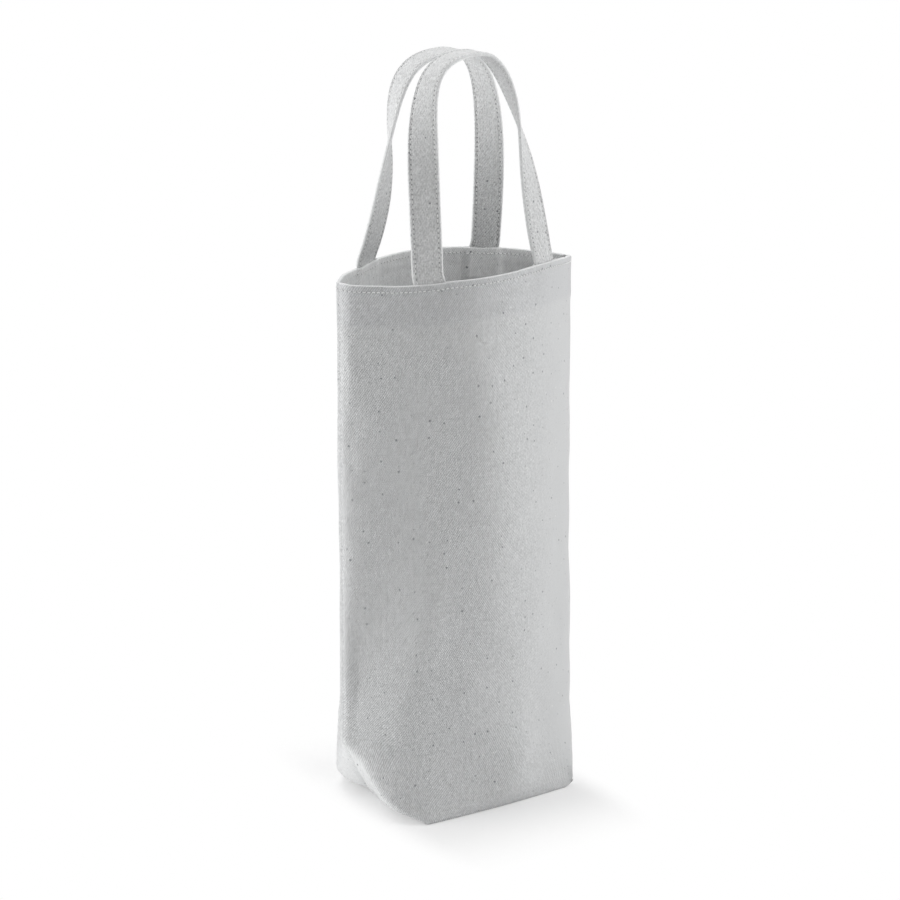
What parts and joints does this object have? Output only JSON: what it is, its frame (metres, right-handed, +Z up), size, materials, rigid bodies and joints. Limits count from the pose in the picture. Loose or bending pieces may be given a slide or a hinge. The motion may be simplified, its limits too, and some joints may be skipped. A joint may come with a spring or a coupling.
{
  "type": "bottle carrier bag",
  "caption": "Tall canvas bag with a boxed base, an open lens-shaped mouth with a turned facing, and short strap handles, for carrying one wine bottle.",
  "frame": {"origin": "middle of the boxed base, on the floor", "axes": "+Z up to the mouth and handles; +X along the panels to the right side seam; -Y out of the front panel"},
  "size_m": [0.1772, 0.1118, 0.4834],
  "materials": {
    "canvas": "matte cotton twill, light grey with dark and pale flecks",
    "strap_canvas": "matte cotton twill, folded and edge stitched",
    "thread": "matte spun sewing thread"
  },
  "bodies": {
    "bag": {"front_panel": "canvas", "back_panel": "canvas", "front_facing": "canvas", "back_facing": "canvas", "front_handle_ends": "strap_canvas", "back_handle_ends": "strap_canvas", "rim_stitching": "thread", "left_seam_stitching": "thread", "right_seam_stitching": "thread", "base_seam_stitching": "thread", "left_corner_stitching": "thread", "right_corner_stitching": "thread"},
    "front_handle": {"front_handle": "strap_canvas", "front_handle_stitching": "thread"},
    "back_handle": {"back_handle": "strap_canvas", "back_handle_stitching": "thread"}
  },
  "joints": [
    {"name": "front_handle_swing", "type": "hinge", "parent": "bag", "child": "front_handle", "pos_m": [0, -0.0385, 0.3499], "axis": [1, 0, 0], "range_deg": [0, 175]},
    {"name": "back_handle_swing", "type": "hinge", "parent": "bag", "child": "back_handle", "pos_m": [0, 0.0385, 0.3499], "axis": [-1, 0, 0], "range_deg": [0, 175]}
  ]
}
